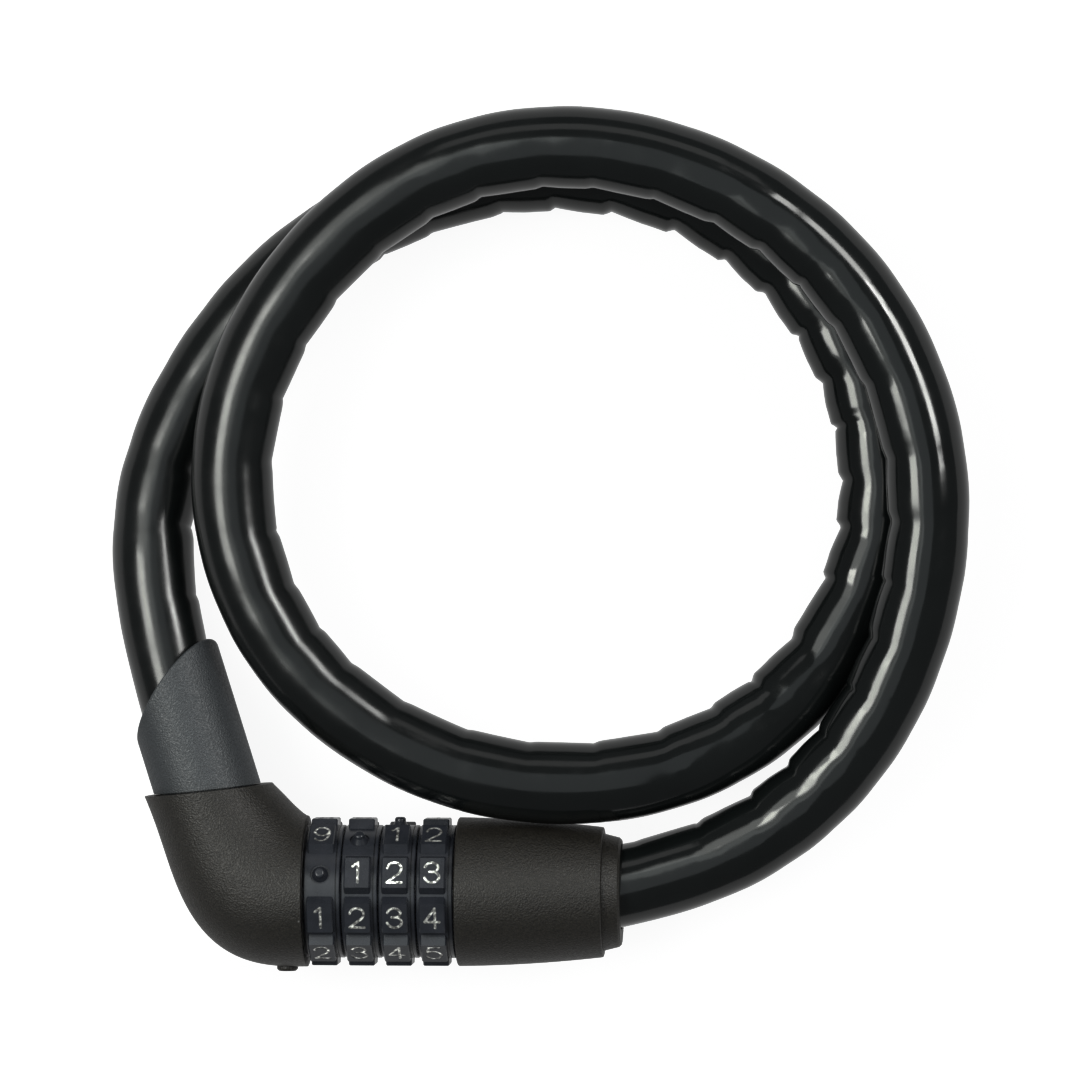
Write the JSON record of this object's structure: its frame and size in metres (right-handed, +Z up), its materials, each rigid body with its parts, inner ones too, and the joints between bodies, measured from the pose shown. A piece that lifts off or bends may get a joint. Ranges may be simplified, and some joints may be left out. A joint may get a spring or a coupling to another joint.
{
  "type": "armoured combination cable lock",
  "caption": "Armoured cable lock: a coiled, jacketed cable runs from a barrel housing to a plug that locks into an elbow housing, released by number wheels.",
  "frame": {"origin": "on the table the lock lies on, under the middle of the housings' and plug's bounding box", "axes": "+X along the lock's axis from the elbow to the barrel, +Y into the cable's loop, +Z up from the table"},
  "size_m": [0.1892, 0.1897, 0.0367],
  "materials": {
    "cover_black": "fine-grained satin black",
    "wheel_black": "satin blue-black",
    "sleeve_grey": "satin slate grey, fine grain",
    "cable_black": "glossy soft PVC over armour shells",
    "digit_silver": "silver fill paint",
    "zinc": "die-cast zinc, dull",
    "hard_steel": "hardened steel, zinc plated",
    "brass": "machined brass",
    "rope_steel": "galvanised steel rope",
    "seal_rubber": "soft black rubber",
    "mark_white": "white paint"
  },
  "bodies": {
    "lock_body": {"elbow_cover": "cover_black", "elbow_core": "zinc", "index_mark": "mark_white", "wheel_spindle": "hard_steel", "spacer_washers": "hard_steel", "detent_strip": "hard_steel", "latch_spring": "hard_steel", "spring_plug": "hard_steel", "spindle_nut": "hard_steel", "barrel_cover": "cover_black", "barrel_core": "zinc", "barrel_end_cap": "cover_black", "anchor_ferrule": "hard_steel", "anchor_pin": "hard_steel", "cable_jacket": "cable_black", "armour_shells": "hard_steel", "steel_rope": "rope_steel"},
    "wheel_1": {"number_wheel_1": "wheel_black", "wheel_digits_1": "digit_silver", "tumbler_ring_1": "brass"},
    "wheel_2": {"number_wheel_2": "wheel_black", "wheel_digits_2": "digit_silver", "tumbler_ring_2": "brass"},
    "wheel_3": {"number_wheel_3": "wheel_black", "wheel_digits_3": "digit_silver", "tumbler_ring_3": "brass"},
    "wheel_4": {"number_wheel_4": "wheel_black", "wheel_digits_4": "digit_silver", "tumbler_ring_4": "brass"},
    "latch": {"latch_bolt": "hard_steel"},
    "plug": {"plug_sleeve": "sleeve_grey", "plug_pin": "hard_steel", "plug_retaining_ring": "hard_steel", "plug_ferrule": "hard_steel", "plug_seal": "seal_rubber"},
    "code_setter": {"code_screw": "cover_black"}
  },
  "joints": [
    {"name": "wheel_spin_1", "type": "hinge", "parent": "lock_body", "child": "wheel_1", "pos_m": [-0.0114, -0.019, 0.0167], "axis": [1, 0, 0], "continuous": true},
    {"name": "wheel_spin_2", "type": "hinge", "parent": "lock_body", "child": "wheel_2", "pos_m": [-0.0032, -0.019, 0.0167], "axis": [1, 0, 0], "continuous": true},
    {"name": "wheel_spin_3", "type": "hinge", "parent": "lock_body", "child": "wheel_3", "pos_m": [0.005, -0.019, 0.0167], "axis": [1, 0, 0], "continuous": true},
    {"name": "wheel_spin_4", "type": "hinge", "parent": "lock_body", "child": "wheel_4", "pos_m": [0.0132, -0.019, 0.0167], "axis": [1, 0, 0], "continuous": true},
    {"name": "latch_slide", "type": "slide", "parent": "lock_body", "child": "latch", "axis": [1, 0, 0], "range_m": [-0.0045, 0], "deforming": ["latch_spring"]},
    {"name": "plug_pull", "type": "slide", "parent": "lock_body", "child": "plug", "axis": [-0.299, 0.9542, 0], "range_m": [0, 0.035], "deforming": ["cable_jacket", "armour_shells", "steel_rope"]},
    {"name": "code_screw_turn", "type": "hinge", "parent": "lock_body", "child": "code_setter", "pos_m": [-0.0204, -0.031, 0.0167], "axis": [0, -1, 0], "range_deg": [0, 90]}
  ]
}
